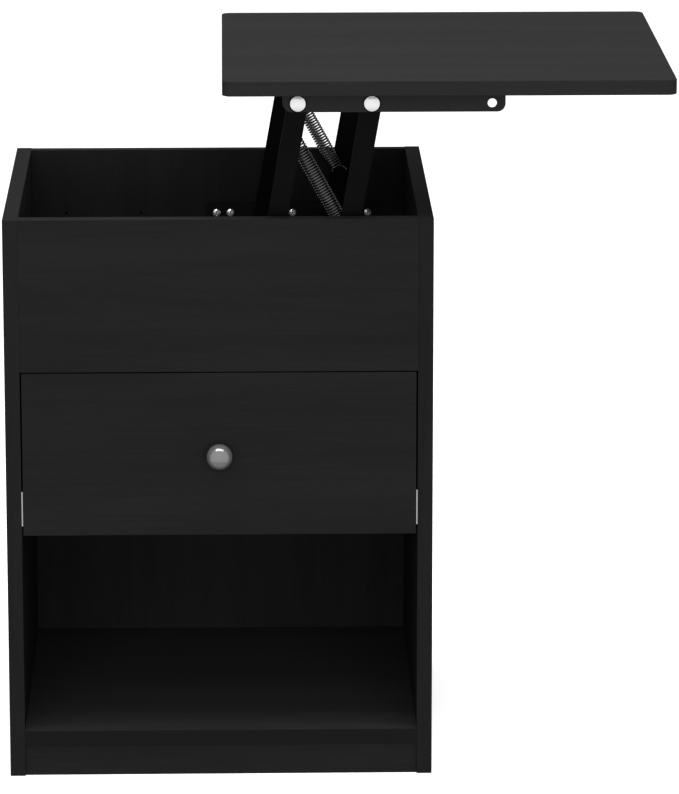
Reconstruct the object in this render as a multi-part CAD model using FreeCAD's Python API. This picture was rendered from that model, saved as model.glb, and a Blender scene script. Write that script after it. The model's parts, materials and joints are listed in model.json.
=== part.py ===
import FreeCAD, Part
import math
import os

# Lift-top side table, in millimetres. +X is to the right seen from the front, +Y to the back, +Z up.
# The origin is the middle of the front plinth's foot, on the floor. The table is modelled with its top
# lifted up and over to the right, and its drawer shut.

V = FreeCAD.Vector
X_AXIS, Y_AXIS, Z_AXIS = V(1, 0, 0), V(0, 1, 0), V(0, 0, 1)

# Carcass
CAB_W, CAB_D, CAB_H = 420.0, 380.0, 565.0
BOARD = 15.0
EDGE_R = 0.3
PLINTH_H = 31.5
PLINTH_SETBACK = 3.0
BACK_T = 12.0
BACK_INSET = 2.0
UPPER_FRONT_H = 152.0

# Top panel
TOP_W, TOP_D, TOP_T = 440.0, 417.0, 15.0
TOP_FRONT_OVERHANG = 10.0
TOP_CORNER_R = 9.0
TOP_EDGE_R = 1.0

# Drawer
DRAWER_TOP_GAP = 1.2
DRAWER_FRONT_H = 163.8
DRAWER_SIDE_GAP = 1.5
DRAWER_BOX_T = 12.0
DRAWER_BOX_D = 300.0
DRAWER_BOX_H = 125.0
DRAWER_BOX_RAISE = 6.0
DRAWER_BOTTOM_T = 3.0
DRAWER_GROOVE = 6.0
DRAWER_BOTTOM_RAISE = 8.0
KNOB_R = 12.75
KNOB_REACH = 25.0
KNOB_Z = 330.0

# Ball-bearing drawer rails
RAIL_GAP = 12.7
RAIL_H = 35.0
RAIL_T = 1.2
RAIL_L = 300.0
RAIL_Z = 275.0
RAIL_START = 2.0
RAIL_TAB_SETBACK = 0.6
MIDDLE_RAIL_H = 24.8
INNER_RAIL_H = 14.6
BALL_R = 1.85
BALLS_PER_STRIP = 6
BALL_PITCH = 18.0

# Lift linkage: two parallel arms on each of two units
ARM_L = 205.0
ARM_W = 20.0
ARM_T = 3.0
ARM_LEAN = 80.0
PIVOT_SPACING = 72.0
UPPER_PIVOT_X = 78.0
UPPER_PIVOT_DROP = 12.5
LIFTED_Z = 687.5
RIVET_R = 4.0
TOP_RIVET_DOME = (7.8, 3.2)
RIVET_TAIL = (6.0, 1.8)
COLLAR_R = 9.4
BASE_RIVET_DOME = (6.5, 2.5)
PIVOT_GAP = 0.05
SPRING_R = 7.0
SPRING_WIRE = 1.4

# Depths of the lift unit's layers, measured inward from the board that the unit is screwed to
PLATE_T = 2.0
BEND_R = 2.6
BEND_INNER_R = 0.6
STEEL_EDGE_R = 0.4
BRACKET_IN, BRACKET_OUT = 5.7, 7.7
COLLAR_IN = 4.9
ARM_IN = 8.0
ARM_OUT = ARM_IN + ARM_T
WASHER_IN, WASHER_OUT = 11.1, 12.1
SPRING_DEPTH = 20.5
POST_OUT = 24.5
FLANGE_OUT = 25.0

# Places worked out from the driving dimensions
IN_X = CAB_W / 2 - BOARD
FRONT_Y = -(PLINTH_SETBACK + BOARD / 2)
INNER_FRONT_Y = FRONT_Y + BOARD
REAR_Y = FRONT_Y + CAB_D
BACK_IN_Y = REAR_Y - BACK_INSET - BACK_T
FLOOR_Z = CAB_H - UPPER_FRONT_H
SHELF_Z = PLINTH_H
DRAWER_FRONT_TOP = FLOOR_Z - DRAWER_TOP_GAP
DRAWER_FRONT_BASE = DRAWER_FRONT_TOP - DRAWER_FRONT_H
DRAWER_FRONT_X = IN_X - DRAWER_SIDE_GAP
DRAWER_X = IN_X - RAIL_GAP
DRAWER_BASE = DRAWER_FRONT_BASE + DRAWER_BOX_RAISE
DRAWER_TOP = DRAWER_BASE + DRAWER_BOX_H
DRAWER_REAR = INNER_FRONT_Y + DRAWER_BOX_D
UPPER_PIVOT_Z = LIFTED_Z - UPPER_PIVOT_DROP
LOWER_PIVOT_X = UPPER_PIVOT_X - ARM_L * math.cos(math.radians(ARM_LEAN))
LOWER_PIVOT_Z = UPPER_PIVOT_Z - ARM_L * math.sin(math.radians(ARM_LEAN))
CLOSED_GAP = 0.5
CLOSED_Z = CAB_H + CLOSED_GAP - UPPER_PIVOT_DROP
CLOSED_ANGLE = 180 - math.degrees(math.asin((CLOSED_Z - LOWER_PIVOT_Z) / ARM_L))
CLOSED_SHIFT = ARM_L * (math.cos(math.radians(ARM_LEAN)) - math.cos(math.radians(CLOSED_ANGLE)))
TOP_X = CLOSED_SHIFT
TOP_Y = FRONT_Y - TOP_FRONT_OVERHANG + TOP_D / 2
UNITS = {"front": (INNER_FRONT_Y, 1), "rear": (BACK_IN_Y, -1)}
SIDES = {"left": -1, "right": 1}


def box(x0, x1, y0, y1, z0, z1):
    low = V(min(x0, x1), min(y0, y1), min(z0, z1))
    return Part.makeBox(abs(x1 - x0), abs(y1 - y0), abs(z1 - z0), low)


def board(x0, x1, y0, y1, z0, z1):
    """A board with its edge banding's small radius on every edge."""
    solid = box(x0, x1, y0, y1, z0, z1)
    return solid.makeFillet(EDGE_R, solid.Edges)


def rod(radius, start, end):
    along = end - start
    return Part.makeCylinder(radius, along.Length, start, along)


def tube(outer, inner, start, end):
    return rod(outer, start, end).cut(rod(inner, start, end))


def dome_edge(radius, height, z, way):
    """The arc of a domed head, from its rim at z to its crown on the axis."""
    sphere_r = (radius ** 2 + height ** 2) / (2 * height)
    half = math.asin(radius / sphere_r) / 2
    centre_z = z + way * (height - sphere_r)
    middle = V(sphere_r * math.sin(half), 0, centre_z + way * sphere_r * math.cos(half))
    return V(radius, 0, z), middle, V(0, 0, z + way * height)


def turned_pin(base, direction, radius, length, low_dome=None, high_dome=None):
    """A pin from base along direction; each dome is a head's radius and height on that end."""
    points = [V(radius, 0, 0), V(radius, 0, length)]
    edges = []
    if low_dome:
        rim, middle, crown = dome_edge(*low_dome, 0, -1)
        edges.append(Part.Arc(crown, middle, rim).toShape())
        points.insert(0, rim)
    else:
        crown = V(0, 0, 0)
        points.insert(0, crown)
    if high_dome:
        rim, middle, top = dome_edge(*high_dome, length, 1)
        points.append(rim)
    else:
        top = V(0, 0, length)
        points.append(top)
    edges += [Part.LineSegment(a, b).toShape() for a, b in zip(points, points[1:])]
    if high_dome:
        edges.append(Part.Arc(rim, middle, top).toShape())
    edges.append(Part.LineSegment(top, crown).toShape())
    solid = Part.Face(Part.Wire(edges)).revolve(V(0, 0, 0), Z_AXIS, 360)
    solid.Placement = FreeCAD.Placement(base, FreeCAD.Rotation(Z_AXIS, direction))
    return solid


def cross_cut(centre, direction, size, width, depth):
    """The cross recess of a screw or a cam, sunk into the face at centre."""
    side = Z_AXIS if abs(direction.z) < 0.5 else X_AXIS
    other = direction.cross(side)
    bars = []
    for long_way, short_way in ((side, other), (other, side)):
        corner = centre - long_way * (size / 2) - short_way * (width / 2) - direction * depth
        points = [
            corner,
            corner + long_way * size,
            corner + long_way * size + short_way * width,
            corner + short_way * width,
        ]
        face = Part.Face(Part.makePolygon(points + [corner]))
        bars.append(face.extrude(direction * (depth + 1.0)))
    return bars[0].fuse(bars[1])


CROSS_W, CROSS_DEPTH = 0.9, 1.1


def screw(seat, direction, head_r, head_h, shank_r, shank_l):
    """A pan-head screw: its head stands on seat and its shank goes the other way."""
    solid = turned_pin(seat - direction * shank_l, direction, shank_r, shank_l, None, (head_r, head_h))
    return solid.cut(cross_cut(seat + direction * head_h, direction, head_r, CROSS_W, CROSS_DEPTH))


def cut_all(solid, tools):
    for tool in tools:
        solid = solid.cut(tool)
    return solid


NODES = {}


def add(name, *solids):
    NODES[name] = list(solids)


# Cam fittings: a drum flush in one board's face, turned onto a stud from the next board
CAM_R = 7.5
CAM_DEPTH = 12.0
CAM_INSET = 24.0
STUD_R = 3.0
STUD_BITE = 10.0
SMALL_CAM_R = 5.0
SMALL_CAM_DEPTH = 9.5
SMALL_STUD_R = 2.5
SMALL_CAM_INSET = 18.0
SMALL_STUD_BITE = 9.0


def cam(face_point, outward, stud_way, reach, radius, depth, stud_r, stud_depth):
    """A cam's drum, its stud and its drilling. face_point is the drum's centre on the board's face."""
    stud_start = face_point - outward * stud_depth + stud_way * (radius * 0.4)
    stud_end = face_point - outward * stud_depth + stud_way * reach
    stud = rod(stud_r, stud_start, stud_end)
    drilling = rod(radius, face_point - outward * depth, face_point)
    drum = drilling.cut(cross_cut(face_point, outward, radius * 1.2, 1.6, 1.5)).cut(stud)
    return drum, stud, drilling.fuse(stud)


def carcass_cams():
    cams = []
    for way in SIDES.values():
        side_way = V(way, 0, 0)
        reach = CAM_INSET + STUD_BITE
        x = way * (IN_X - CAM_INSET)
        places = [(V(x, y, z), V(0, 0, -1)) for z in (SHELF_Z, FLOOR_Z) for y in (42.0, 312.0)]
        places += [(V(x, INNER_FRONT_Y, z), V(0, 1, 0)) for z in (440.0, 538.0)]
        places.append((V(x, BOARD / 2, PLINTH_H / 2), V(0, 1, 0)))
        for point, outward in places:
            cams.append(cam(point, outward, side_way, reach, CAM_R, CAM_DEPTH, STUD_R, BOARD / 2))
    return zip(*cams)


def carcass_dowels():
    dowel_r, dowel_half = 4.0, 14.0
    back_y = BACK_IN_Y + BACK_T / 2
    dowels = []
    for way in SIDES.values():
        places = [(y, z + BOARD / 2) for z in (SHELF_Z, FLOOR_Z) for y in (86.0, 268.0)]
        places += [(back_y, z) for z in (90.0, 230.0, 370.0, 520.0)]
        places.append((FRONT_Y + BOARD / 2, 489.0))
        for y, z in places:
            inner = V(way * (IN_X - dowel_half - 4), y, z)
            dowels.append(rod(dowel_r, inner, V(way * (IN_X + STUD_BITE), y, z)))
        dowels.append(rod(dowel_r, V(way * 110, 0, PLINTH_H - 18), V(way * 110, 0, PLINTH_H + 9)))
    return dowels


def back_screws():
    screws = []
    for z in (SHELF_Z + BOARD / 2, FLOOR_Z + BOARD / 2):
        for x in (-150.0, 0.0, 150.0):
            screws.append(screw(V(x, BACK_IN_Y + BACK_T, z), Y_AXIS, 3.5, 1.8, 1.9, 35.0))
    return screws


# Lift linkage


def at(unit, x, depth, z):
    """A point of one lift unit, its depth measured inward from the board that carries the unit."""
    face_y, inward = UNITS[unit]
    return V(x, face_y + inward * depth, z)


def inward_of(unit):
    return V(0, UNITS[unit][1], 0)


def arm_point(pivot_x, distance):
    """A point on an arm's centre line, as x and z, at a distance from its lower pivot."""
    lean = math.radians(ARM_LEAN)
    return pivot_x + distance * math.cos(lean), LOWER_PIVOT_Z + distance * math.sin(lean)


SPRING_ON_LEFT = 171.8
SPRING_ON_RIGHT = 70.7
POST_R = 5.6
POST_HEAD_R = 6.6
POST_SHANK_R = 4.0
POST_GROOVE = 2.6
LOOP_R = 8.3
LOOP_OFFSET = 1.0


def post_place(unit, arm, depth):
    """A point on the axis of the spring post of one arm."""
    on_left = arm == "left"
    pivot_x = LOWER_PIVOT_X + (0 if on_left else PIVOT_SPACING)
    x, z = arm_point(pivot_x, SPRING_ON_LEFT if on_left else SPRING_ON_RIGHT)
    return at(unit, x, depth, z)


def spring_post(unit, arm):
    """A spool riveted through its arm; the spring's loop lies in its groove."""
    groove = (SPRING_DEPTH - POST_GROOVE / 2, SPRING_DEPTH + POST_GROOVE / 2)
    shank = rod(POST_SHANK_R, post_place(unit, arm, ARM_IN), post_place(unit, arm, ARM_OUT))
    foot = rod(POST_HEAD_R, post_place(unit, arm, ARM_OUT), post_place(unit, arm, groove[0]))
    neck = rod(POST_R, post_place(unit, arm, groove[0]), post_place(unit, arm, groove[1]))
    head = rod(POST_HEAD_R, post_place(unit, arm, groove[1]), post_place(unit, arm, POST_OUT))
    return shank.fuse(foot).fuse(neck).fuse(head).removeSplitter()


def arm(unit, name):
    pivot_x = LOWER_PIVOT_X + (0 if name == "left" else PIVOT_SPACING)
    low = V(pivot_x, 0, LOWER_PIVOT_Z)
    top_x, top_z = arm_point(pivot_x, ARM_L)
    high = V(top_x, 0, top_z)
    lean = math.radians(ARM_LEAN)
    across = V(math.sin(lean), 0, -math.cos(lean)) * (ARM_W / 2)
    along = V(math.cos(lean), 0, math.sin(lean)) * (ARM_W / 2)
    outline = Part.Wire([
        Part.LineSegment(low - across, high - across).toShape(),
        Part.Arc(high - across, high + along, high + across).toShape(),
        Part.LineSegment(high + across, low + across).toShape(),
        Part.Arc(low + across, low - along, low - across).toShape(),
    ])
    face_y, inward = UNITS[unit]
    solid = Part.Face(outline).extrude(V(0, ARM_T, 0))
    rims = [e for e in solid.Edges if e.BoundBox.YLength < 0.01]
    solid = solid.makeFillet(STEEL_EDGE_R, rims)
    solid.translate(V(0, face_y + (ARM_IN if inward > 0 else -ARM_OUT), 0))
    holes = []
    for point in (low, high):
        start = at(unit, point.x, ARM_IN - 1, point.z)
        holes.append(rod(RIVET_R + PIVOT_GAP, start, at(unit, point.x, ARM_OUT + 1, point.z)))
    holes.append(spring_post(unit, name))
    return cut_all(solid, holes)


BRACKET_X0, BRACKET_X1 = 63.0, 280.0
BRACKET_H = 21.0
BRACKET_HOLE_X = 267.0
BRACKET_HOLE_R = 4.5
BRACKET_SCREW_X = (106.0, 190.0, 258.0)


def rounded_plate(x0, x1, z0, z1, y0, y1, corners):
    """An upright plate; corners pairs the x and z of each rounded corner with its radius."""
    solid = box(x0, x1, y0, y1, z0, z1)
    for (x, z), radius in corners:
        edges = [
            e for e in solid.Edges
            if all(abs(v.X - x) < 0.01 and abs(v.Z - z) < 0.01 for v in e.Vertexes)
        ]
        solid = solid.makeFillet(radius, edges)
    return solid


def bend(solid, outer, inner):
    """Rounds a folded plate along X; outer and inner are its two bend edges, as y and z."""
    for (y, z), radius in ((outer, BEND_R), (inner, BEND_INNER_R)):
        lengthways = [e for e in solid.Edges if e.BoundBox.XLength > 100]
        edges = [
            e for e in lengthways
            if all(abs(v.Y - y) < 0.01 and abs(v.Z - z) < 0.01 for v in e.Vertexes)
        ]
        solid = solid.makeFillet(radius, edges)
    return solid


def top_bracket(unit):
    face_y, inward = UNITS[unit]
    z0 = LIFTED_Z - BRACKET_H
    y0, y1 = sorted((face_y + inward * BRACKET_IN, face_y + inward * BRACKET_OUT))
    corners = [((BRACKET_X0, z0), 10.0), ((BRACKET_X1, z0), 8.0)]
    wall = rounded_plate(BRACKET_X0, BRACKET_X1, z0, LIFTED_Z, y0, y1, corners)
    flange_y = face_y + inward * FLANGE_OUT
    outer_y, inner_y = face_y + inward * BRACKET_IN, face_y + inward * BRACKET_OUT
    flange = box(BRACKET_X0, BRACKET_X1, outer_y, flange_y, LIFTED_Z - PLATE_T, LIFTED_Z)
    solid = wall.fuse(flange).removeSplitter()
    solid = bend(solid, (outer_y, LIFTED_Z), (inner_y, LIFTED_Z - PLATE_T))
    tools = top_rivets(unit) + bracket_screws(unit)
    start = at(unit, BRACKET_HOLE_X, BRACKET_IN - 1, UPPER_PIVOT_Z)
    tools.append(rod(BRACKET_HOLE_R, start, at(unit, BRACKET_HOLE_X, BRACKET_OUT + 1, UPPER_PIVOT_Z)))
    return cut_all(solid, tools)


def top_rivets(unit):
    """The two domed rivets that carry the top bracket on the arms, each with its inner head."""
    inward = inward_of(unit)
    rivets = []
    for x in (UPPER_PIVOT_X, UPPER_PIVOT_X + PIVOT_SPACING):
        start = at(unit, x, COLLAR_IN, UPPER_PIVOT_Z)
        rivets.append(turned_pin(start, inward, RIVET_R, WASHER_OUT - COLLAR_IN, TOP_RIVET_DOME, RIVET_TAIL))
    return rivets


def pivot_washers(unit, xs, z):
    washers = []
    for x in xs:
        washers.append(tube(8.0, RIVET_R, at(unit, x, WASHER_IN, z), at(unit, x, WASHER_OUT, z)))
    return washers


def collar_washers(unit):
    """The black washers under the domed rivet heads."""
    washers = []
    for x in (UPPER_PIVOT_X, UPPER_PIVOT_X + PIVOT_SPACING):
        start, end = at(unit, x, COLLAR_IN, UPPER_PIVOT_Z), at(unit, x, BRACKET_IN, UPPER_PIVOT_Z)
        washers.append(tube(COLLAR_R, RIVET_R, start, end))
    return washers


def bracket_screws(unit):
    seat_z = LIFTED_Z - PLATE_T
    return [screw(at(unit, x, 18.0, seat_z), V(0, 0, -1), 3.5, 1.8, 1.75, 13.0) for x in BRACKET_SCREW_X]


BASE_X0, BASE_X1 = -14.0, 168.0
BASE_Z0, BASE_Z1 = 459.0, 510.0
BASE_SCREWS = ((-2.0, 498.0), (12.5, 498.0), (77.5, 498.0), (156.0, 498.0), (-2.0, 471.0), (156.0, 471.0))
STOP_NEAR, STOP_FAR = 13.0, 21.0
STOP_T = 2.5


def base_bracket(unit):
    """The plate screwed to the carcass, with a stiffening lip and the lug that stops the right arm."""
    face_y, inward = UNITS[unit]
    y0, y1 = sorted((face_y, face_y + inward * PLATE_T))
    corners = [((x, BASE_Z1), 6.0) for x in (BASE_X0, BASE_X1)]
    plate = rounded_plate(BASE_X0, BASE_X1, BASE_Z0, BASE_Z1, y0, y1, corners)
    lip = box(BASE_X0, BASE_X1, face_y, face_y + inward * ARM_OUT, BASE_Z0, BASE_Z0 + PLATE_T)
    lean = math.radians(ARM_LEAN)
    along = V(math.cos(lean), 0, math.sin(lean))
    across = V(math.sin(lean), 0, -math.cos(lean))
    foot = at(unit, LOWER_PIVOT_X + PIVOT_SPACING, 0, LOWER_PIVOT_Z) + across * (ARM_W / 2 + 0.1)
    corner = foot + along * STOP_NEAR
    points = [
        corner,
        corner + across * STOP_T,
        corner + across * STOP_T + along * (STOP_FAR - STOP_NEAR),
        corner + along * (STOP_FAR - STOP_NEAR),
    ]
    lug = Part.Face(Part.makePolygon(points + [corner])).extrude(inward_of(unit) * ARM_OUT)
    folded = plate.fuse(lip).removeSplitter()
    folded = bend(folded, (face_y, BASE_Z0), (face_y + inward * PLATE_T, BASE_Z0 + PLATE_T))
    solid = folded.fuse(lug).removeSplitter()
    return cut_all(solid, base_screws(unit) + base_rivets(unit))


def base_screws(unit):
    inward = inward_of(unit)
    return [screw(at(unit, x, PLATE_T, z), inward, 4.0, 2.8, 1.75, 13.0) for x, z in BASE_SCREWS]


def base_pivot_xs():
    return LOWER_PIVOT_X, LOWER_PIVOT_X + PIVOT_SPACING


def base_rivets(unit):
    rivets = []
    for x in base_pivot_xs():
        start = at(unit, x, 0, LOWER_PIVOT_Z)
        rivets.append(turned_pin(start, inward_of(unit), RIVET_R, WASHER_OUT, None, BASE_RIVET_DOME))
    return rivets


def base_spacers(unit):
    spacers = []
    for x in base_pivot_xs():
        start, end = at(unit, x, PLATE_T, LOWER_PIVOT_Z), at(unit, x, BRACKET_OUT, LOWER_PIVOT_Z)
        spacers.append(tube(7.0, RIVET_R, start, end))
    return spacers


def spring_line(unit):
    """The spring's ends, at the middle of its two posts."""
    ends = []
    for name, pivot_x, distance in (
        ("left", LOWER_PIVOT_X, SPRING_ON_LEFT),
        ("right", LOWER_PIVOT_X + PIVOT_SPACING, SPRING_ON_RIGHT),
    ):
        x, z = arm_point(pivot_x, distance)
        ends.append(at(unit, x, SPRING_DEPTH, z))
    return ends


COIL_START = 6.8
COIL_END = 10.0


def spring_coil(unit):
    """The spring's outer shape: a tube as wide as its turns."""
    upper, lower = spring_line(unit)
    way = (lower - upper).normalize()
    inner = SPRING_R - SPRING_WIRE
    return tube(SPRING_R, inner, upper + way * COIL_START, lower - way * COIL_END)


def spring_loop(unit, which):
    """The round loop at one end of the spring, hung on its post with room to turn."""
    upper, lower = spring_line(unit)
    way = (lower - upper).normalize()
    centre = upper + way * LOOP_OFFSET if which == "upper" else lower - way * LOOP_OFFSET
    half = SPRING_WIRE / 2
    inward = inward_of(unit)
    return tube(LOOP_R, LOOP_R - SPRING_WIRE, centre - inward * half, centre + inward * half)


# Drawer rails


def rail_section(way, back, front, half_h, y0, y1):
    """A channel: its web at depth back from the cabinet side and its flanges reaching to front."""
    web_front = back + RAIL_T if front > back else back - RAIL_T
    web = rail_box(way, back, web_front, -half_h, half_h, y0, y1)
    high = rail_box(way, back, front, half_h - RAIL_T, half_h, y0, y1)
    low = rail_box(way, back, front, -half_h, RAIL_T - half_h, y0, y1)
    return web.fuse(high).fuse(low).removeSplitter()


def rail_box(way, u0, u1, v0, v1, y0, y1):
    return box(way * (IN_X - u0), way * (IN_X - u1), y0, y1, RAIL_Z + v0, RAIL_Z + v1)


RAIL_Y0 = INNER_FRONT_Y + RAIL_START
RAIL_Y1 = RAIL_Y0 + RAIL_L
RAIL_BALL_U = 6.5
RAIL_SCREW_Y = (38.0, 160.0, 282.0)


def outer_rail(way):
    """The cabinet's rail, whose web runs on to the front in the gap beside the drawer front."""
    tab = rail_box(way, 0, RAIL_T, -RAIL_H / 2, RAIL_H / 2, FRONT_Y + RAIL_TAB_SETBACK, RAIL_Y0)
    return rail_section(way, 0, 9.6, RAIL_H / 2, RAIL_Y0, RAIL_Y1).fuse(tab).removeSplitter()


def middle_rail(way):
    return rail_section(way, 3.2, 9.4, MIDDLE_RAIL_H / 2, RAIL_Y0, RAIL_Y1)


def inner_rail(way):
    return rail_section(way, RAIL_GAP, 5.2, INNER_RAIL_H / 2, RAIL_Y0, RAIL_Y1)


def ball_cage(way, outer_v, inner_v, y_middle):
    """Two rows of balls, each in a thin strip, between two rails' flanges."""
    solids = []
    v_middle = (outer_v + inner_v) / 2
    half_l = BALL_PITCH * BALLS_PER_STRIP / 2
    y0, y1 = y_middle - half_l, y_middle + half_l
    for up in (1, -1):
        v0, v1 = up * (v_middle - 1.2), up * (v_middle + 1.2)
        strip = rail_box(way, RAIL_BALL_U - 0.4, RAIL_BALL_U + 0.4, v0, v1, y0, y1)
        balls = []
        for i in range(BALLS_PER_STRIP):
            y = y_middle + (i - (BALLS_PER_STRIP - 1) / 2) * BALL_PITCH
            x, z = way * (IN_X - RAIL_BALL_U), RAIL_Z + up * v_middle
            balls.append(Part.makeSphere(BALL_R, V(x, y, z)))
        solids += [cut_all(strip, balls)] + balls
    return solids


def rail_screws(way, depth, outward):
    """Screws through a rail's web; outward is 1 towards the cabinet side and -1 towards the drawer."""
    screws = []
    for y in RAIL_SCREW_Y:
        seat = V(way * (IN_X - depth), INNER_FRONT_Y + y, RAIL_Z)
        screws.append(screw(seat, V(-way * outward, 0, 0), 3.2, 1.4, 1.75, 11.0))
    return screws


# Drawer


def drawer_cams():
    cams = []
    for way in SIDES.values():
        x = way * (DRAWER_X - DRAWER_BOX_T)
        for z in (DRAWER_BASE + 32.0, DRAWER_TOP - 25.0):
            place = V(x, INNER_FRONT_Y + SMALL_CAM_INSET, z)
            reach = SMALL_CAM_INSET + SMALL_STUD_BITE
            size = (SMALL_CAM_R, SMALL_CAM_DEPTH, SMALL_STUD_R, DRAWER_BOX_T / 2)
            cams.append(cam(place, V(-way, 0, 0), V(0, -1, 0), reach, *size))
    return zip(*cams)


def drawer_back_screws():
    y = DRAWER_REAR - DRAWER_BOX_T / 2
    screws = []
    for way in SIDES.values():
        for z in (DRAWER_BASE + 50.0, DRAWER_TOP - 20.0):
            screws.append(screw(V(way * DRAWER_X, y, z), V(way, 0, 0), 3.3, 1.6, 1.75, 30.0))
    return screws


def drawer_bottom():
    x = DRAWER_X - DRAWER_BOX_T + DRAWER_GROOVE
    z = DRAWER_BASE + DRAWER_BOTTOM_RAISE
    return box(-x, x, INNER_FRONT_Y - DRAWER_GROOVE, DRAWER_REAR, z, z + DRAWER_BOTTOM_T)


def knob():
    """A turned ball knob on a short flared neck, from its profile of radius and reach."""
    foot_r, foot_l, neck_r = 7.5, 1.5, 5.0
    centre = KNOB_REACH - KNOB_R
    ball_start = centre - math.sqrt(KNOB_R ** 2 - neck_r ** 2)
    points = [V(0, 0, 0), V(foot_r, 0, 0), V(foot_r, 0, foot_l), V(neck_r, 0, ball_start + foot_l)]
    lowest = math.asin(neck_r / KNOB_R)
    start_angle, middle_angle = lowest + math.radians(8), math.radians(100)
    start = V(KNOB_R * math.sin(start_angle), 0, centre - KNOB_R * math.cos(start_angle))
    middle = V(KNOB_R * math.sin(middle_angle), 0, centre - KNOB_R * math.cos(middle_angle))
    end = V(0, 0, KNOB_REACH)
    points.append(start)
    edges = [Part.LineSegment(a, b).toShape() for a, b in zip(points, points[1:])]
    edges.append(Part.Arc(start, middle, end).toShape())
    edges.append(Part.LineSegment(end, points[0]).toShape())
    solid = Part.Face(Part.Wire(edges)).revolve(V(0, 0, 0), Z_AXIS, 360)
    solid.Placement = FreeCAD.Placement(V(0, FRONT_Y, KNOB_Z), FreeCAD.Rotation(Z_AXIS, V(0, -1, 0)))
    return solid


def knob_screw():
    start = V(0, INNER_FRONT_Y, KNOB_Z)
    return screw(start, Y_AXIS, 4.5, 2.2, 2.0, BOARD + 10.0)


def build_carcass():
    drums, studs, drillings = carcass_cams()
    dowels = carcass_dowels()
    screws = back_screws()
    lift_screws = base_screws("front") + base_screws("rear")
    rail_fixings = rail_screws(-1, RAIL_T, 1) + rail_screws(1, RAIL_T, 1)
    fittings = [*drillings, *dowels, *screws, *lift_screws, *rail_fixings]
    boards = {
        "left_side_panel": board(-IN_X - BOARD, -IN_X, FRONT_Y, REAR_Y, 0, CAB_H),
        "right_side_panel": board(IN_X, IN_X + BOARD, FRONT_Y, REAR_Y, 0, CAB_H),
        "upper_front_panel": board(-IN_X, IN_X, FRONT_Y, INNER_FRONT_Y, FLOOR_Z, CAB_H),
        "back_panel": board(-IN_X, IN_X, BACK_IN_Y, BACK_IN_Y + BACK_T, SHELF_Z, CAB_H),
        "compartment_floor": board(-IN_X, IN_X, INNER_FRONT_Y, BACK_IN_Y, FLOOR_Z, FLOOR_Z + BOARD),
        "bottom_shelf": board(-IN_X, IN_X, FRONT_Y, BACK_IN_Y, SHELF_Z, SHELF_Z + BOARD),
        "front_plinth": board(-IN_X, IN_X, -BOARD / 2, BOARD / 2, 0, PLINTH_H),
    }
    spare_holes = [
        rod(1.5, V(x, BACK_IN_Y - 1, 498.0), V(x, BACK_IN_Y + 8, 498.0)) for x in (-159.0, -81.0)
    ]
    for name, solid in boards.items():
        tools = fittings + (spare_holes if name == "back_panel" else [])
        near = [t for t in tools if t.BoundBox.intersect(solid.BoundBox)]
        add(name, cut_all(solid, near))
    add("carcass_cams", *drums)
    add("carcass_cam_studs", *studs)
    add("carcass_dowels", *dowels)
    add("back_panel_screws", *screws)


def build_lift():
    for unit in UNITS:
        add(unit + "_base_bracket", base_bracket(unit))
        add(unit + "_top_bracket", top_bracket(unit))
        for name in ("left", "right"):
            add(unit + "_" + name + "_arm", arm(unit, name))
            add(unit + "_" + name + "_spring_post", spring_post(unit, name))
        add(unit + "_spring", spring_coil(unit).fuse(spring_loop(unit, "upper")).removeSplitter())
        add(unit + "_spring_lower_loop", spring_loop(unit, "lower"))
    both = list(UNITS)
    add("base_bracket_screws", *[s for u in both for s in base_screws(u)])
    add("base_pivot_rivets", *[s for u in both for s in base_rivets(u)])
    add("base_pivot_spacers", *[s for u in both for s in base_spacers(u)])
    add("base_pivot_washers", *[s for u in both for s in pivot_washers(u, base_pivot_xs(), LOWER_PIVOT_Z)])
    upper_xs = (UPPER_PIVOT_X, UPPER_PIVOT_X + PIVOT_SPACING)
    add("top_pivot_rivets", *[s for u in both for s in top_rivets(u)])
    add("top_pivot_collars", *[s for u in both for s in collar_washers(u)])
    add("top_pivot_washers", *[s for u in both for s in pivot_washers(u, upper_xs, UPPER_PIVOT_Z)])
    add("top_bracket_screws", *[s for u in both for s in bracket_screws(u)])


def build_top():
    x0, x1 = TOP_X - TOP_W / 2, TOP_X + TOP_W / 2
    y0, y1 = TOP_Y - TOP_D / 2, TOP_Y + TOP_D / 2
    solid = box(x0, x1, y0, y1, LIFTED_Z, LIFTED_Z + TOP_T)
    uprights = [e for e in solid.Edges if abs(e.tangentAt(e.FirstParameter).z) > 0.9]
    solid = solid.makeFillet(TOP_CORNER_R, uprights)
    rims = [e for e in solid.Edges if e.BoundBox.ZLength < 0.01]
    solid = solid.makeFillet(TOP_EDGE_R, rims)
    add("top_panel", cut_all(solid, bracket_screws("front") + bracket_screws("rear")))


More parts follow.
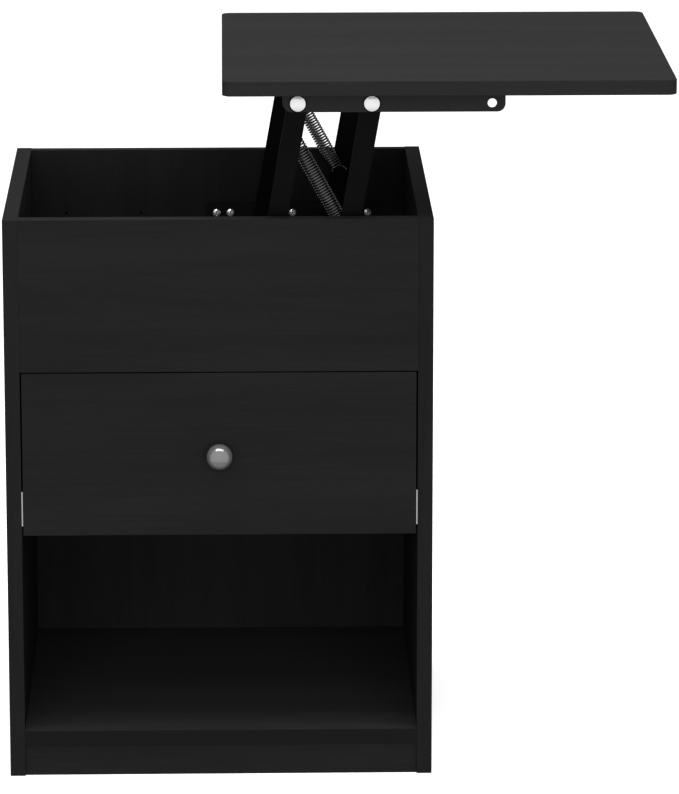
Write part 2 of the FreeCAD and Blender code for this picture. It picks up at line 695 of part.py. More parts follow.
def build_drawer():
    drums, studs, drillings = drawer_cams()
    back_fixings = drawer_back_screws()
    bottom = drawer_bottom()
    rail_fixings = rail_screws(-1, RAIL_GAP - RAIL_T, -1) + rail_screws(1, RAIL_GAP - RAIL_T, -1)
    pull = knob()
    pull_screw = knob_screw()
    fittings = [*drillings, *back_fixings, *rail_fixings, bottom, pull_screw]
    inner_x = DRAWER_X - DRAWER_BOX_T
    back_y = DRAWER_REAR - DRAWER_BOX_T
    back_z = DRAWER_BASE + DRAWER_BOTTOM_RAISE + DRAWER_BOTTOM_T
    boards = {
        "drawer_front": board(
            -DRAWER_FRONT_X, DRAWER_FRONT_X, FRONT_Y, INNER_FRONT_Y, DRAWER_FRONT_BASE, DRAWER_FRONT_TOP
        ),
        "drawer_left_side": board(-DRAWER_X, -inner_x, INNER_FRONT_Y, DRAWER_REAR, DRAWER_BASE, DRAWER_TOP),
        "drawer_right_side": board(inner_x, DRAWER_X, INNER_FRONT_Y, DRAWER_REAR, DRAWER_BASE, DRAWER_TOP),
        "drawer_back": board(-inner_x, inner_x, back_y, DRAWER_REAR, back_z, DRAWER_TOP),
    }
    for name, solid in boards.items():
        near = [t for t in fittings if t.BoundBox.intersect(solid.BoundBox)]
        add(name, cut_all(solid, near))
    add("drawer_bottom", bottom)
    add("drawer_cams", *drums)
    add("drawer_cam_studs", *studs)
    add("drawer_back_screws", *back_fixings)
    add("drawer_knob", pull.cut(pull_screw))
    add("drawer_knob_screw", pull_screw)


def build_rails():
    outer_v, middle_v, inner_v = RAIL_H / 2, MIDDLE_RAIL_H / 2, INNER_RAIL_H / 2
    y_middle = (RAIL_Y0 + RAIL_Y1) / 2
    for side, way in SIDES.items():
        cabinet_screws = rail_screws(way, RAIL_T, 1)
        drawer_screws = rail_screws(way, RAIL_GAP - RAIL_T, -1)
        add(side + "_outer_rail", cut_all(outer_rail(way), cabinet_screws))
        add(side + "_middle_rail", middle_rail(way))
        add(side + "_inner_rail", cut_all(inner_rail(way), drawer_screws))
        add(side + "_outer_ball_cage", *ball_cage(way, outer_v - RAIL_T, middle_v, y_middle))
        add(side + "_inner_ball_cage", *ball_cage(way, middle_v - RAIL_T, inner_v, y_middle))
    add("cabinet_rail_screws", *(rail_screws(-1, RAIL_T, 1) + rail_screws(1, RAIL_T, 1)))
    inner_depth = RAIL_GAP - RAIL_T
    add("drawer_rail_screws", *(rail_screws(-1, inner_depth, -1) + rail_screws(1, inner_depth, -1)))


def export():
    os.makedirs("parts", exist_ok=True)
    for name, solids in NODES.items():
        shape = solids[0] if len(solids) == 1 else Part.makeCompound(solids)
        if not shape.isValid():
            print("invalid", name)
        shape.exportStep("parts/" + name + ".step")
        print(name, len(shape.Solids), round(shape.Volume / 1000, 3))


build_carcass()
build_lift()
build_top()
build_drawer()
build_rails()
export()
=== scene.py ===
import json
import math

import bpy
from mathutils import Matrix, Vector
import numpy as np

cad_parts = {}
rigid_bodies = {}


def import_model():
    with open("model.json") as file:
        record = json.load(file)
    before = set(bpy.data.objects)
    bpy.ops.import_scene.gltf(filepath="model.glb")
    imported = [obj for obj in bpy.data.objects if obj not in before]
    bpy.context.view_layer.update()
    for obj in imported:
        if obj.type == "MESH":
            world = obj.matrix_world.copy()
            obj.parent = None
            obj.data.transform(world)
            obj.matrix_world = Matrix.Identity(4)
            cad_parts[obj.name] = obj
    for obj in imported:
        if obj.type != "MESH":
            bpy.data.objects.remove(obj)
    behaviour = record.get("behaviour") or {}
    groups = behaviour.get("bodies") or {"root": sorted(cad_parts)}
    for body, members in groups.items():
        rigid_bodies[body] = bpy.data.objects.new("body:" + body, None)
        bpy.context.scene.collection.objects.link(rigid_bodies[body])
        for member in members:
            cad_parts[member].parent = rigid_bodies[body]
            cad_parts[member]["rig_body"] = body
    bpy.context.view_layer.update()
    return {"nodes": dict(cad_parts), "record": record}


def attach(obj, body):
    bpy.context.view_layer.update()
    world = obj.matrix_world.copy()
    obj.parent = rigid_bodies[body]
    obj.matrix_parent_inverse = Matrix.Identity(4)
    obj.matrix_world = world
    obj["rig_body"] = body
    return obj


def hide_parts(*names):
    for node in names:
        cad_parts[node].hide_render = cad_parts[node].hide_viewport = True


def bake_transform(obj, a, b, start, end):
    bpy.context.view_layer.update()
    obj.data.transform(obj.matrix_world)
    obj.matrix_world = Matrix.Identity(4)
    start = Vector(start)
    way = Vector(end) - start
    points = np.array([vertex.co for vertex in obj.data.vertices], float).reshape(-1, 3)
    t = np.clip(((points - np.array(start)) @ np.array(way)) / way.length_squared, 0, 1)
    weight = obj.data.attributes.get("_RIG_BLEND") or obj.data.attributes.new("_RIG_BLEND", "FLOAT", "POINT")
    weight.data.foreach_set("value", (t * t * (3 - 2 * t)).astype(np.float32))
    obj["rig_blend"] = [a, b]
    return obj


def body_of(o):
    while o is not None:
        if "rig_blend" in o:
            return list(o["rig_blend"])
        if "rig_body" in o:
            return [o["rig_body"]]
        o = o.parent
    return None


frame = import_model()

# Looks of the lift-top side table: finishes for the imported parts, turned and wound metal pieces in
# place of the plain ones, and a pale studio. Everything is in metres, +Z up, +Y to the back.

MM = 0.001
NODES = frame["nodes"]
JOINTS = {joint["name"]: joint for joint in frame["record"]["behaviour"]["joints"]}


def reach(node, pick):
    """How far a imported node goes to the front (min) or to the back (max)."""
    return pick(corner[1] for corner in NODES[node].bound_box)


# The table's front, and the board faces inside that the two lift units are fixed to.
FRONT_Y = reach("drawer_front", min)
FACE_Y = {"front": reach("upper_front_panel", max), "rear": reach("back_panel", min)}
MIDDLE_Y = sum(FACE_Y.values()) / 2


# ---------------------------------------------------------------- shader expressions


class Value:
    """A shader socket that takes part in arithmetic; each operation adds a Math node."""

    def __init__(self, nodes, socket):
        self.nodes = nodes
        self.socket = socket

    def _math(self, operation, first, second):
        node = self.nodes.node("ShaderNodeMath", {"operation": operation}, {0: first, 1: second})
        return Value(self.nodes, node.outputs[0])

    def __add__(self, other):
        return self._math("ADD", self, other)

    def __radd__(self, other):
        return self._math("ADD", other, self)

    def __sub__(self, other):
        return self._math("SUBTRACT", self, other)

    def __rsub__(self, other):
        return self._math("SUBTRACT", other, self)

    def __mul__(self, other):
        return self._math("MULTIPLY", self, other)

    def __rmul__(self, other):
        return self._math("MULTIPLY", other, self)


class Tree:
    """The node tree of a material or a world, emptied and built up again."""

    def __init__(self, owner):
        self.owner = owner
        owner.use_nodes = True
        self.tree = owner.node_tree
        self.tree.nodes.clear()

    def out(self, node, name):
        return Value(self, node.outputs[name])

    def node(self, kind, settings=None, sockets=None):
        """Adds a node: its settings first, then the values or links of its sockets."""
        node = self.tree.nodes.new(kind)
        for key, value in (settings or {}).items():
            setattr(node, key, value)
        for key, value in (sockets or {}).items():
            target = node.inputs[key]
            if isinstance(value, Value):
                self.tree.links.new(value.socket, target)
            elif isinstance(value, bpy.types.NodeSocket):
                self.tree.links.new(value, target)
            else:
                target.default_value = value
        return node

    def between(self, value, low, high):
        """0 below low, 1 above high and a smooth ramp between."""
        settings = {"clamp": True, "interpolation_type": "SMOOTHSTEP"}
        sockets = {"Value": value, "From Min": low, "From Max": high}
        return self.out(self.node("ShaderNodeMapRange", settings, sockets), "Result")


class Shader(Tree):
    """A material made of nodes around one Principled surface."""

    def __init__(self, name):
        super().__init__(bpy.data.materials.new(name))
        self.surface = self.node("ShaderNodeBsdfPrincipled")
        self.node("ShaderNodeOutputMaterial", {}, {"Surface": self.surface.outputs["BSDF"]})
        self.coordinates = self.out(self.node("ShaderNodeTexCoord"), "Object")

    def scaled(self, scale):
        """Object coordinates multiplied by a scale on each axis."""
        sockets = {"Vector": self.coordinates, "Scale": scale}
        node = self.node("ShaderNodeMapping", {"vector_type": "POINT"}, sockets)
        return self.out(node, "Vector")

    def noise(self, scale, detail, roughness, distortion=0.0):
        """Noise from 0 to 1; scale is the number of features per metre on each axis."""
        sockets = {
            "Vector": self.scaled(scale),
            "Scale": 1.0,
            "Detail": detail,
            "Roughness": roughness,
            "Distortion": distortion,
        }
        return self.out(self.node("ShaderNodeTexNoise", {}, sockets), "Fac")

    def mix(self, factor, first, second):
        """A colour between two colours."""
        settings = {"data_type": "RGBA", "clamp_factor": True}
        node = self.node("ShaderNodeMix", settings, {"Factor": factor, "A": first, "B": second})
        colour_result = 2
        return Value(self, node.outputs[colour_result])

    def bump(self, height, distance):
        sockets = {"Height": height, "Distance": distance, "Strength": 1.0}
        node = self.node("ShaderNodeBump", {}, sockets)
        self.tree.links.new(node.outputs["Normal"], self.surface.inputs["Normal"])

    def finish(self, **sockets):
        """Sets the surface's sockets; names are written with _ for a space."""
        for key, value in sockets.items():
            target = self.surface.inputs[key.replace("_", " ")]
            if isinstance(value, Value):
                self.tree.links.new(value.socket, target)
            else:
                target.default_value = value
        return self.owner


def grey(value):
    return (value, value, value, 1.0)


# ---------------------------------------------------------------- finishes


# The painted shade on the front edge of a board fades into the board's own look between these depths.
EDGE_SHADE_START = 0.2 * MM
EDGE_SHADE_END = 0.6 * MM


def black_board(name, grain, dark, light, front_edge_shade=None):
    """Black wood-grain melamine: long soft bands, fine fibres and short pores along one axis.

    The last argument, when given, is a darker tone painted on the board's front edge as painted shade, where
    the face's own tone isn't used.
    """
    shader = Shader(name)
    along = "xyz".index(grain)

    def stretch(length, width):
        return [1 / length if axis == along else 1 / width for axis in range(3)]

    bands = shader.noise(stretch(length=0.42, width=0.034), detail=3.0, roughness=0.5, distortion=0.4)
    fibres = shader.noise(stretch(length=0.075, width=0.0016), detail=5.0, roughness=0.6)
    pores = shader.noise(stretch(length=0.016, width=0.00055), detail=2.0, roughness=0.5)
    open_pores = shader.between(pores, 0.60, 0.72)
    tone = shader.between(bands * 0.55 + fibres * 0.45, 0.34, 0.66)
    colour = shader.mix(tone, grey(dark), grey(light))
    colour = shader.mix(open_pores * 0.45, colour, grey(dark * 0.6))
    # Painted shade: the front edge gets its own darker tone.
    if front_edge_shade:
        split = shader.node("ShaderNodeSeparateXYZ", {}, {"Vector": shader.coordinates})
        depth = shader.out(split, "Y")
        on_face = shader.between(depth, FRONT_Y + EDGE_SHADE_START, FRONT_Y + EDGE_SHADE_END)
        colour = shader.mix(on_face, grey(front_edge_shade), colour)
    shader.bump(fibres * 0.5 - open_pores * 0.6, 0.00012)
    return shader.finish(Base_Color=colour, Roughness=0.46 + fibres * 0.16, Specular_IOR_Level=0.04)


def hardboard():
    """Black fibreboard with its pressed flecks."""
    shader = Shader("black_hardboard")
    flecks = shader.noise([420, 420, 420], detail=4.0, roughness=0.6)
    colour = shader.mix(flecks, grey(0.010), grey(0.017))
    shader.bump(flecks, 0.00008)
    return shader.finish(Base_Color=colour, Roughness=0.55 + flecks * 0.2, Specular_IOR_Level=0.2)


def powder_coat(name, dark, light, specular):
    """Black powder coat on pressed steel, with its faint orange peel."""
    shader = Shader(name)
    peel = shader.noise([900, 900, 900], detail=2.0, roughness=0.5)
    cloud = shader.noise([30, 30, 30], detail=3.0, roughness=0.5)
    colour = shader.mix(cloud, grey(dark), grey(light))
    shader.bump(peel, 0.00004)
    return shader.finish(Base_Color=colour, Roughness=0.34 + cloud * 0.12, Specular_IOR_Level=specular)


def plated(name, light, dark, roughness, spread, scratch, metallic=1.0):
    """Plated metal: a clouded tone, and fine scratches that break up the gloss."""
    shader = Shader(name)
    cloud = shader.noise([160, 160, 160], detail=3.0, roughness=0.5)
    lines = shader.noise([2600, 900, 2600], detail=3.0, roughness=0.6)
    colour = shader.mix(cloud, dark, light)
    shader.bump(lines, scratch)
    return shader.finish(Base_Color=colour, Metallic=metallic, Roughness=roughness + lines * spread)


def beech():
    """Bare beech with its fibres along X."""
    shader = Shader("bare_beech")
    fibres = shader.noise([14, 900, 900], detail=4.0, roughness=0.6)
    colour = shader.mix(fibres, (0.50, 0.34, 0.19, 1), (0.66, 0.49, 0.31, 1))
    shader.bump(fibres, 0.0001)
    return shader.finish(Base_Color=colour, Roughness=0.55 + fibres * 0.2)


FINISH = {
    "board_x": black_board("black_board_across", "x", dark=0.0098, light=0.0128),
    "board_y": black_board("black_board_deep", "y", dark=0.0098, light=0.0128),
    "board_z": black_board("black_board_upright", "z", dark=0.0090, light=0.0118),
    # The top is painted lighter than the other boards: painted light, because the top stands in the open.
    "board_top_painted_light": black_board("black_board_top", "x", dark=0.0148, light=0.0178),
    # The shelf's face is painted lighter than the other boards: painted light for its dim inside. Its front
    # edge is painted darker: painted shade.
    "board_shelf_painted_light": black_board("black_board_shelf", "x", dark=0.0225, light=0.0280, front_edge_shade=0.0072),
    "hardboard": hardboard(),
    "bracket": powder_coat("black_bracket_coat", dark=0.0110, light=0.0150, specular=0.12),
    # The plate and arm coats are the bracket's powder coat painted darker: painted shade for the parts deep
    # in the cabinet.
    "plate": powder_coat("black_plate_coat", dark=0.0055, light=0.0075, specular=0.05),
    "arm": powder_coat("black_arm_coat", dark=0.0018, light=0.0030, specular=0.04),
    "rivet": plated(
        "bright_nickel", grey(0.97), grey(0.93), roughness=0.16, spread=0.08, scratch=0.000004, metallic=0.5
    ),
    "knob": plated(
        "satin_nickel", grey(0.255), grey(0.225), roughness=0.13, spread=0.07, scratch=0.000004, metallic=0.6
    ),
    "screw": plated(
        "bright_zinc", grey(0.96), grey(0.88), roughness=0.22, spread=0.10, scratch=0.000005, metallic=0.85
    ),
    "spring": plated("spring_wire", grey(0.20), grey(0.13), roughness=0.10, spread=0.08, scratch=0.000004),
    "rail": plated(
        "zinc_rail", (0.62, 0.63, 0.64, 1.0), (0.50, 0.51, 0.53, 1.0),
        roughness=0.24, spread=0.16, scratch=0.000010,
    ),
    "ball": plated("bearing_ball", grey(0.80), grey(0.72), roughness=0.08, spread=0.06, scratch=0.000002),
    "cam": plated("cast_cam", grey(0.52), grey(0.42), roughness=0.36, spread=0.20, scratch=0.000030),
    "beech": beech(),
}

NODE_FINISH = {
    "board_x": ["upper_front_panel", "drawer_front", "front_plinth", "compartment_floor", "drawer_back"],
    "board_top_painted_light": ["top_panel"],
    "board_shelf_painted_light": ["bottom_shelf"],
    "board_y": ["drawer_left_side", "drawer_right_side"],
    "board_z": ["left_side_panel", "right_side_panel", "back_panel"],
    "hardboard": ["drawer_bottom"],
    "bracket": ["front_top_bracket", "rear_top_bracket"],
    "plate": ["front_base_bracket", "rear_base_bracket"],
    "arm": [
        "front_left_arm", "front_right_arm", "rear_left_arm", "rear_right_arm",
        "front_left_spring_post", "front_right_spring_post", "rear_left_spring_post",
        "rear_right_spring_post", "base_pivot_spacers", "top_pivot_collars",
    ],
    "rivet": ["base_pivot_rivets", "top_pivot_rivets", "base_pivot_washers", "top_pivot_washers"],
    "knob": ["drawer_knob"],
    "spring": ["front_spring", "rear_spring", "front_spring_lower_loop", "rear_spring_lower_loop"],
    "screw": [
        "back_panel_screws", "base_bracket_screws", "top_bracket_screws", "drawer_back_screws",
        "drawer_knob_screw", "cabinet_rail_screws", "drawer_rail_screws", "carcass_cam_studs",
        "drawer_cam_studs",
    ],
    "rail": [
        "left_outer_rail", "right_outer_rail", "left_middle_rail", "right_middle_rail",
        "left_inner_rail", "right_inner_rail",
    ],
    "ball": [
        "left_outer_ball_cage", "right_outer_ball_cage", "left_inner_ball_cage", "right_inner_ball_cage",
    ],
    "cam": ["carcass_cams", "drawer_cams"],
    "beech": ["carcass_dowels"],
}


def paint_nodes():
    for finish, names in NODE_FINISH.items():
        for name in names:
            for slot in NODES[name].material_slots:
                slot.material = FINISH[finish]


# ---------------------------------------------------------------- modelling helpers


def active():
    return bpy.context.view_layer.objects.active


def deselect():
    bpy.ops.object.select_all(action="DESELECT")


def pick_only(piece):
    deselect()
    piece.select_set(True)
    bpy.context.view_layer.objects.active = piece


def edit(mode=True):
    bpy.ops.object.mode_set(mode="EDIT" if mode else "OBJECT")


def smooth(piece, degrees):
    """Shades a piece smooth, apart from edges that turn by more than the angle."""
    pick_only(piece)
    bpy.ops.object.shade_smooth_by_angle(angle=math.radians(degrees))


def apply_modifier(piece, kind, **settings):
    modifier = piece.modifiers.new(kind.lower(), kind)
    for key, value in settings.items():
        setattr(modifier, key, value)
    bpy.context.view_layer.objects.active = piece
    bpy.ops.object.modifier_apply(modifier=modifier.name)


def settle(piece, matrix):
    """Puts a piece modelled about the origin in its place, with the place kept in its mesh."""
    piece.matrix_world = matrix
    pick_only(piece)
    bpy.ops.object.transform_apply(location=True, rotation=True, scale=True)


def facing(place, direction):
    """The matrix that turns +Z to direction and moves the origin to place."""
    turn = Vector((0, 0, 1)).rotation_difference(Vector(direction)).to_matrix().to_4x4()
    return Matrix.Translation(Vector(place)) @ turn


def join(name, pieces):
    deselect()
    for piece in pieces:
        piece.select_set(True)
    bpy.context.view_layer.objects.active = pieces[0]
    if len(pieces) > 1:
        bpy.ops.object.join()
    pieces[0].name = name
    return pieces[0]


def copy_of(piece):
    twin = piece.copy()
    twin.data = piece.data.copy()
    bpy.context.scene.collection.objects.link(twin)
    return twin


SMOOTH_TURNED = 40
SMOOTH_WIRE = 60


def turned(name, rings, sides):
    """A turned piece about +Z: a disc extruded ring by ring, each given as radius and height."""
    deselect()
    radius, height = rings[0]
    bpy.ops.mesh.primitive_circle_add(
        vertices=sides, radius=radius, fill_type="NGON", location=(0, 0, height)
    )
    piece = active()
    piece.name = name
    bpy.ops.object.transform_apply(location=True)
    edit()
    bpy.ops.mesh.select_all(action="SELECT")
    for (last_r, last_z), (next_r, next_z) in zip(rings, rings[1:]):
        bpy.ops.mesh.extrude_region_move(TRANSFORM_OT_translate={"value": (0, 0, next_z - last_z)})
        ratio = next_r / last_r
        bpy.ops.transform.resize(value=(ratio, ratio, 1), center_override=(0, 0, next_z))
    bpy.ops.mesh.select_all(action="SELECT")
    bpy.ops.mesh.normals_make_consistent(inside=False)
    edit(False)
    smooth(piece, SMOOTH_TURNED)
    return piece


def dome_rings(radius, height, base, way=1, steps=8):
    """Rings of a domed head, from its rim at base to its crown."""
    sphere = (radius ** 2 + height ** 2) / (2 * height)
    half = math.asin(radius / sphere)
    rings = []
    for step in range(steps):
        angle = half * (1 - step / steps)
        rings.append((sphere * math.sin(angle), base + way * (height - sphere + sphere * math.cos(angle))))
    crown_r = radius * 0.02
    rings.append((crown_r, base + way * height))
    return rings


def solids_of(node):
    """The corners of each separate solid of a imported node, as boxes."""
    twin = copy_of(NODES[node])
    twin.parent = None
    twin.hide_render = False
    pick_only(twin)
    edit()
    bpy.ops.mesh.select_all(action="SELECT")
    bpy.ops.mesh.remove_doubles(threshold=0.01 * MM)
    bpy.ops.mesh.separate(type="LOOSE")
    edit(False)
    boxes = []
    for part in list(bpy.context.selected_objects):
        points = [vertex.co for vertex in part.data.vertices]
        low = Vector([min(point[i] for point in points) for i in range(3)])
        high = Vector([max(point[i] for point in points) for i in range(3)])
        boxes.append((low, high))
        bpy.data.objects.remove(part)
    return boxes


def stand_in(piece, finish, *nodes):
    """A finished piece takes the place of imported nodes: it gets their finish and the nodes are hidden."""
    piece.data.materials.clear()
    piece.data.materials.append(FINISH[finish])
    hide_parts(*nodes)
    record_slot = next(p["material_slot"] for p in frame["record"]["subparts"] if p["node"] == nodes[0])


# ---------------------------------------------------------------- small metal pieces


def spread(name, model, places):
    """One piece made of the model, once at each matrix."""
    copies = []
    for place in places:
        twin = copy_of(model)
        settle(twin, place)
        copies.append(twin)
    bpy.data.objects.remove(model)
    return join(name, copies)


def fit(node, model, places, finish):
    """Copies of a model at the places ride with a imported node's body and stand in for the node."""
    piece = spread(node + "_turned", model, places)
    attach(piece, body_of(NODES[node])[0])
    stand_in(piece, finish, node)


def cross_recess(piece, top, length, width, depth):
    """Sinks a cross recess into the top of a piece that stands about the origin."""
    bar_h = 4 * MM
    for turn in (0, math.pi / 2):
        deselect()
        place = (0, 0, top - depth + bar_h / 2)
        bpy.ops.mesh.primitive_cube_add(size=1, location=place, rotation=(0, 0, turn))
        bar = active()
        bar.scale = (length, width, bar_h)
        bpy.ops.object.transform_apply(location=True, rotation=True, scale=True)
        apply_modifier(piece, "BOOLEAN", operation="DIFFERENCE", solver="EXACT", object=bar)
        bpy.data.objects.remove(bar)


# A screw's point, its thread and the plain neck below its head.
POINT_L = 2.0 * MM
THREAD_PITCH = 0.9 * MM
THREAD_CORE = 0.72
THREAD_TOP = -2.2 * MM
NECK_TOP = -0.4 * MM


def pan_head_screw(name, head_r, head_h, shank_r, shank_l):
    """A pan-head screw whose seat is at the origin, its head up and its threaded shank down."""
    core_r = shank_r * THREAD_CORE
    z = -shank_l + POINT_L
    rings = [(shank_r * 0.05, -shank_l), (shank_r * 0.8, z)]
    while z < THREAD_TOP:
        rings.append((shank_r, z + THREAD_PITCH / 2))
        rings.append((core_r, z + THREAD_PITCH))
        z += THREAD_PITCH
    rings.append((core_r, NECK_TOP))
    rings += [(shank_r, 0.0), (head_r * 0.96, 0.0), (head_r, 0.05 * head_h), (head_r, 0.35 * head_h)]
    rings += dome_rings(head_r * 0.97, 0.6 * head_h, 0.4 * head_h)
    piece = turned(name, rings, 28)
    cross_recess(piece, head_h, length=head_r * 1.3, width=head_r * 0.36, depth=head_h * 0.6)
    smooth(piece, SMOOTH_TURNED)
    return piece


# Each screw node's axis, and in millimetres its head's radius and height and its shank's radius and length.
SCREWS = {
    "base_bracket_screws": ((0, 1, 0), 4.0, 2.8, 1.75, 13.0),
    "back_panel_screws": ((0, 1, 0), 3.5, 1.8, 1.9, 35.0),
    "top_bracket_screws": ((0, 0, -1), 3.5, 1.8, 1.75, 13.0),
    "drawer_back_screws": ((1, 0, 0), 3.3, 1.6, 1.75, 30.0),
    "cabinet_rail_screws": ((1, 0, 0), 3.2, 1.4, 1.75, 11.0),
    "drawer_rail_screws": ((1, 0, 0), 3.2, 1.4, 1.75, 11.0),
    "drawer_knob_screw": ((0, 1, 0), 4.5, 2.2, 2.0, 25.0),
}


def head_way(node, middle):
    """Which way along its axis a screw's head points: 1 or -1."""
    outward = 1 if middle.x > 0 else -1
    if node == "base_bracket_screws":
        return 1 if middle.y < MIDDLE_Y else -1
    if node in ("drawer_back_screws", "drawer_rail_screws"):
        return outward
    if node == "cabinet_rail_screws":
        return -outward
    return 1


def screws():
    """Cross-head screws in place of the plain ones, each with its head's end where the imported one's is."""
    for node, (axis, head_r, head_h, shank_r, shank_l) in SCREWS.items():
        axis = Vector(axis)
        model = pan_head_screw(node, head_r * MM, head_h * MM, shank_r * MM, shank_l * MM)
        places = []
        for low, high in solids_of(node):
            middle = (low + high) / 2
            way = axis * head_way(node, middle)
            end = middle + way * (abs((high - low) @ axis) / 2)
            places.append(facing(end - way * (head_h * MM), way))
        fit(node, model, places, "screw")


KNOB_R = 12.75 * MM
KNOB_REACH = 25.0 * MM
KNOB_Z = 330.0 * MM
KNOB_TIP_R = 0.15 * MM
KNOB_BALL_START_R = 5.2 * MM
# The knob's foot, in millimetres: radius and distance from the drawer front.
KNOB_FOOT = [(7.3, 0.0), (7.5, 0.25), (7.5, 1.1), (7.2, 1.5), (6.0, 1.7), (5.2, 1.9), (5.0, 2.2)]


def knob():
    """The satin ball knob on its foot, whose narrow end is inside the ball."""
    centre = KNOB_REACH - KNOB_R
    rings = [(radius * MM, height * MM) for radius, height in KNOB_FOOT]
    steps = 26
    start = math.asin(KNOB_BALL_START_R / KNOB_R)
    for step in range(steps):
        angle = start + (math.pi - start) * step / steps
        rings.append((KNOB_R * math.sin(angle), centre - KNOB_R * math.cos(angle)))
    rings.append((KNOB_TIP_R, KNOB_REACH))
    piece = turned("ball_knob", rings, 64)
    settle(piece, facing((0, FRONT_Y, KNOB_Z), (0, -1, 0)))
    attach(piece, body_of(NODES["drawer_knob"])[0])
    stand_in(piece, "knob", "drawer_knob")


# The pivot rivets' depths are measured inwards from the board face that their unit is fixed to.
RIVET_SIDES = 48
RIVET_SHANK_R = 4.0 * MM
RIVET_END = 12.1 * MM
TOP_HEAD_SEAT = 4.9 * MM
TOP_HEAD_R = 7.55 * MM
TOP_HEAD_RIM = 0.4 * MM
TOP_HEAD_DOME = 1.3 * MM
TOP_TAIL_R = 6.0 * MM
TOP_TAIL_H = 1.8 * MM
BASE_HEAD_R = 6.5 * MM
BASE_HEAD_H = 2.5 * MM
BASE_EDGE = 0.1 * MM
BASE_START = 0.02 * MM
COLLAR_R = 8.75 * MM
COLLAR_END = 5.7 * MM
COLLAR_EDGE_R = 0.25 * MM
COLLAR_EDGE_T = 0.2 * MM


def rivets():
    """Domed rivets at the pivots, and the collars under the heads of the upper ones."""
    rim = TOP_HEAD_SEAT - TOP_HEAD_RIM
    head = [(TOP_HEAD_R, TOP_HEAD_SEAT)] + dome_rings(TOP_HEAD_R, TOP_HEAD_DOME, rim, way=-1, steps=12)
    shank = [(RIVET_SHANK_R, TOP_HEAD_SEAT), (RIVET_SHANK_R, RIVET_END)]
    tail = dome_rings(TOP_TAIL_R, TOP_TAIL_H, RIVET_END)
    model = turned("top_rivet", head[::-1] + shank + tail, RIVET_SIDES)
    fit("top_pivot_rivets", model, rivet_places("top_pivot_rivets"), "rivet")

    edge = [(COLLAR_R - COLLAR_EDGE_R, TOP_HEAD_SEAT), (COLLAR_R, TOP_HEAD_SEAT + COLLAR_EDGE_T)]
    model = turned("collar", edge + [(COLLAR_R, COLLAR_END)], RIVET_SIDES)
    fit("top_pivot_collars", model, rivet_places("top_pivot_collars"), "arm")

    shank = [(RIVET_SHANK_R - BASE_EDGE, BASE_START), (RIVET_SHANK_R, BASE_EDGE), (RIVET_SHANK_R, RIVET_END)]
    model = turned("base_rivet", shank + dome_rings(BASE_HEAD_R, BASE_HEAD_H, RIVET_END), RIVET_SIDES)
    fit("base_pivot_rivets", model, rivet_places("base_pivot_rivets"), "rivet")


def rivet_places(node):
    """Where each rivet or collar of a node stands: on its board face, turned inwards."""
    places = []
    for low, high in solids_of(node):
        middle = (low + high) / 2
        front = middle.y < MIDDLE_Y
        face = Vector((middle.x, FACE_Y["front" if front else "rear"], middle.z))
        places.append(facing(face, (0, 1 if front else -1, 0)))
    return places


# ---------------------------------------------------------------- springs


WIRE_R = 0.85 * MM
WIRE_SIDES = 10
COIL_R = 6.75 * MM
HOOK_R = 7.6 * MM
HOOK_OFFSET = 1.0 * MM
HOOK_TURN = math.radians(325)
TURNS = 35
STEPS_PER_TURN = 20


def spring_ends(unit):
    """The middles of a unit's upper and lower spring post, from the joints that its spring moves by."""
    stretch = JOINTS[unit + "_spring_stretch"]
    top = Vector(JOINTS[unit + "_spring_swivel"]["pos_m"])
    way = Vector(stretch["axis"])
    drop = top.z - stretch["deforming_nodes"][0]["fixed_end_z_m"]
    return top, top - way * (drop / way.z)


def open_ring(piece, top):
    """Selects the open end of a wire, the one with the highest or the lowest z."""
    zs = [vertex.co.z for vertex in piece.data.vertices]
    edge_z = max(zs) if top else min(zs)
    edit()
    bpy.ops.mesh.select_mode(type="EDGE")
    bpy.ops.mesh.select_all(action="DESELECT")
    bpy.ops.mesh.select_non_manifold()
    edit(False)
    ring = set()
    for edge in piece.data.edges:
        if edge.select:
            middle = sum(piece.data.vertices[i].co.z for i in edge.vertices) / 2
            edge.select = abs(middle - edge_z) < 3 * WIRE_R
            if edge.select:
                ring.update(edge.vertices)
    for vertex in piece.data.vertices:
        vertex.select = vertex.index in ring
    for face in piece.data.polygons:
        face.select = False
    edit()


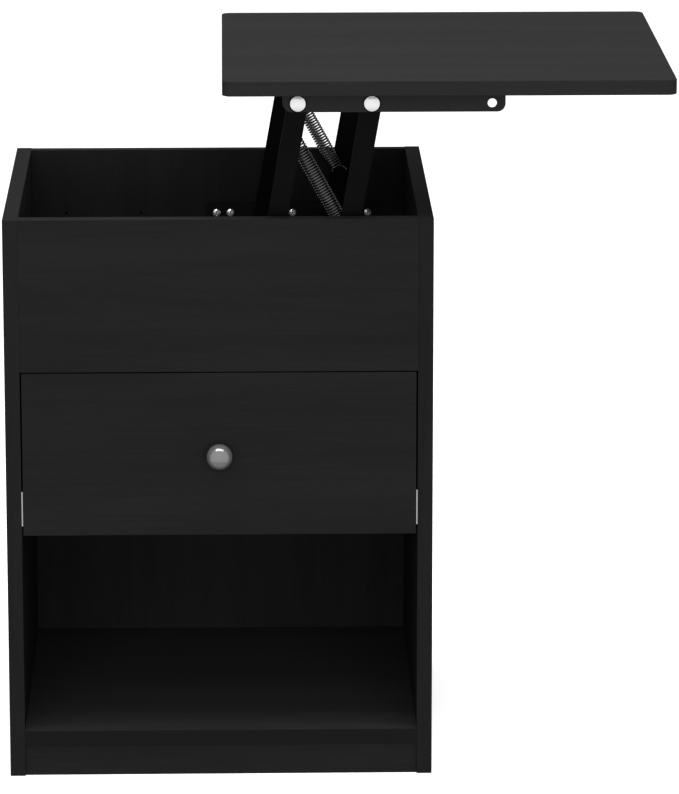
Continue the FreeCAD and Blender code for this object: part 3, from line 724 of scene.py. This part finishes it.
def wound_spring(unit):
    """One spring of real wire: its turns, then a half turn in to the axis and a round hook at each end."""
    top_post, foot_post = spring_ends(unit)
    line = foot_post - top_post
    length = line.length
    start = HOOK_OFFSET + HOOK_R
    end = length - start
    deselect()
    bpy.ops.mesh.primitive_circle_add(
        vertices=WIRE_SIDES, radius=WIRE_R, location=(COIL_R, 0, start), rotation=(math.pi / 2, 0, 0)
    )
    wire = active()
    bpy.ops.object.transform_apply(location=True, rotation=True, scale=True)
    apply_modifier(
        wire, "SCREW", axis="Z", angle=math.tau, screw_offset=(end - start) / TURNS, iterations=TURNS,
        steps=STEPS_PER_TURN, render_steps=STEPS_PER_TURN, use_smooth_shade=True,
    )
    for top, coil_z, hook_z, way in ((False, start, HOOK_OFFSET, 1), (True, end, length - HOOK_OFFSET, -1)):
        open_ring(wire, top)
        bpy.ops.mesh.spin(
            steps=12, angle=-way * math.pi, center=(COIL_R / 2, 0, coil_z), axis=(0, 0, 1), dupli=False
        )
        bpy.ops.mesh.spin(steps=44, angle=HOOK_TURN, center=(0, 0, hook_z), axis=(-1, 0, 0), dupli=False)
        bpy.ops.mesh.edge_face_add()
        edit(False)
    edit()
    bpy.ops.mesh.select_all(action="SELECT")
    bpy.ops.mesh.normals_make_consistent(inside=False)
    edit(False)
    smooth(wire, SMOOTH_WIRE)
    axis_z = line.normalized()
    axis_x = Vector((0, 1, 0))
    axis_y = axis_z.cross(axis_x)
    place = Matrix((axis_x, axis_y, axis_z)).transposed().to_4x4()
    place.translation = top_post
    settle(wire, place)
    wire.name = unit + "_wound_spring"
    top = top_post + axis_z * start
    foot = foot_post - axis_z * start
    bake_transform(wire, unit + "_spring", unit + "_spring_end", start=tuple(top), end=tuple(foot))
    stand_in(wire, "spring", unit + "_spring", unit + "_spring_lower_loop")


# ---------------------------------------------------------------- stage


FLOOR_SIZE = 60.0


def studio():
    """A pale floor that glows a little and stays out of reflections and bounced light, and soft light."""
    view = bpy.context.scene.view_settings
    view.view_transform = "Standard"
    view.look = "None"
    deselect()
    bpy.ops.mesh.primitive_plane_add(size=FLOOR_SIZE, location=(0, 0, 0))
    floor = active()
    floor.name = "studio_floor"
    shader = Shader("pale_floor")
    patches = shader.noise([1.5, 1.5, 1.5], detail=2.0, roughness=0.5)
    shade = shader.mix(patches, grey(0.93), grey(0.95))
    shader.finish(Base_Color=shade, Roughness=0.9, Specular_IOR_Level=0.0)
    floor.data.materials.append(shader.finish(Emission_Color=shade, Emission_Strength=0.6))
    floor.visible_glossy = False
    floor.visible_diffuse = False
    dome()
    panel("overhead_softbox", place=(0.1, -0.18, 3.1), aim=(0.1, -0.18, 0.0), size=(3.0, 1.5), power=76.0)
    fill = panel("front_fill", place=(0.1, -4.3, 0.62), aim=(0.1, 0.0, 0.45), size=(4.0, 1.2), power=78.0)
    key = panel("front_key", place=(0.1, -4.2, 2.25), aim=(0.1, 0.0, 0.25), size=(3.6, 1.2), power=48.0)
    for light in (fill, key):
        light.visible_glossy = False


def panel(name, place, aim, size, power):
    """A soft rectangular light at place, turned to aim."""
    data = bpy.data.lights.new(name, "AREA")
    data.shape = "RECTANGLE"
    data.size, data.size_y = size
    data.energy = power
    light = bpy.data.objects.new(name, data)
    light.location = place
    light.rotation_euler = (Vector(aim) - Vector(place)).to_track_quat("-Z", "Y").to_euler()
    bpy.context.scene.collection.objects.link(light)
    return light


def dome():
    """A soft dome, brighter in front of the table than behind it, and dimmer underneath."""
    world = bpy.data.worlds.new("soft_dome")
    bpy.context.scene.world = world
    tree = Tree(world)
    way = tree.out(tree.node("ShaderNodeTexCoord"), "Generated")
    split = tree.node("ShaderNodeSeparateXYZ", {}, {"Vector": way})
    along, up = tree.out(split, "Y"), tree.out(split, "Z")
    front = tree.between(-1.0 * along, -0.25, 0.35)
    in_front = 0.42 + tree.between(up, -0.62, -0.42) * 0.38 - tree.between(up, 0.5, 0.95) * 0.2
    behind = 0.30 + tree.between(up, 0.45, 0.90) * 0.30
    level = front * in_front + (1.0 - front) * behind
    background = tree.node("ShaderNodeBackground", {}, {"Color": level})
    tree.node("ShaderNodeOutputWorld", {}, {"Surface": background.outputs["Background"]})


def camera():
    """The camera's place, 4.74 m in front of the table's front and 1.53 m up, and where it looks."""
    place = Vector((0.0073, -4.7515, 1.5303))
    aim = Vector((0.1180, -0.0105, 0.3870))
    data = bpy.data.cameras.new("camera")
    data.lens = 225.6
    data.sensor_width = 36.0
    data.clip_end = 200.0
    thing = bpy.data.objects.new("camera", data)
    thing.location = place
    thing.rotation_euler = (aim - place).to_track_quat("-Z", "Y").to_euler()
    bpy.context.scene.collection.objects.link(thing)
    bpy.context.scene.camera = thing


paint_nodes()
screws()
rivets()
knob()
for unit in FACE_Y:
    wound_spring(unit)
studio()
camera()
